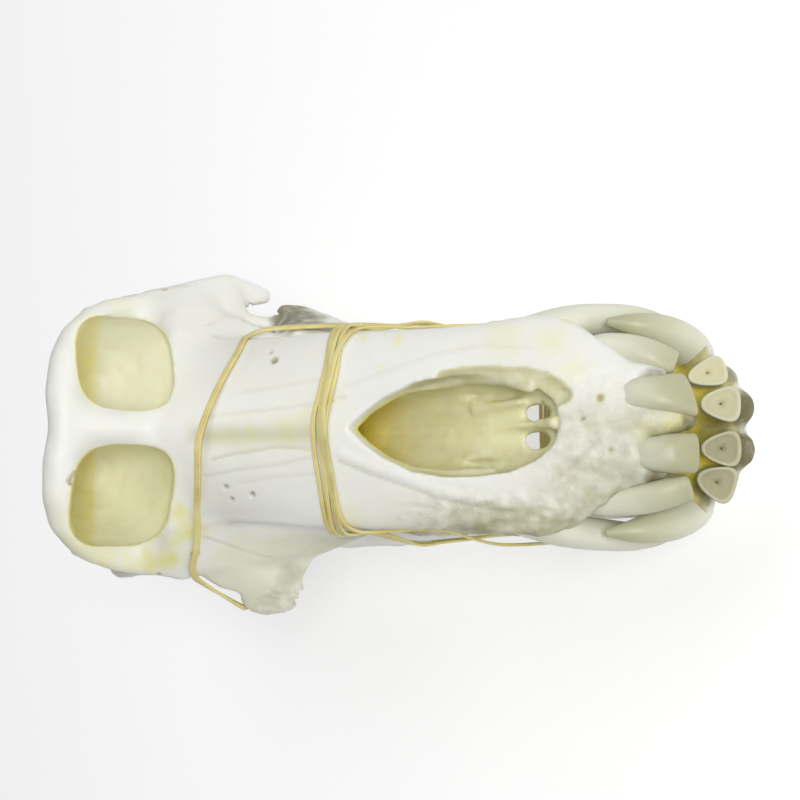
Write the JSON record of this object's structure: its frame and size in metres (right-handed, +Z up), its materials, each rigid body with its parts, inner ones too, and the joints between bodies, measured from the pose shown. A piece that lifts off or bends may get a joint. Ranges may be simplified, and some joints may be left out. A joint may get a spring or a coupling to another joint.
{
  "type": "baboon skull with lower jaw",
  "caption": "Life-size skull of an old male baboon with its lower jaw, both cheek arches broken off, tied with two rubber bands.",
  "frame": {"origin": "middle of the bounding box's base, on the floor under the skull", "axes": "+X out of the muzzle, +Y to the skull's own left, +Z up; the biting plane is level"},
  "size_m": [0.2438, 0.1, 0.1549],
  "materials": {
    "bone": "clean pale bone with smoother, slightly glossy teeth",
    "band_rubber": "tan translucent latex"
  },
  "bodies": {
    "root": {"cranium": "bone", "mandible": "bone", "band_muzzle": "band_rubber", "band_brow": "band_rubber"}
  },
  "joints": []
}
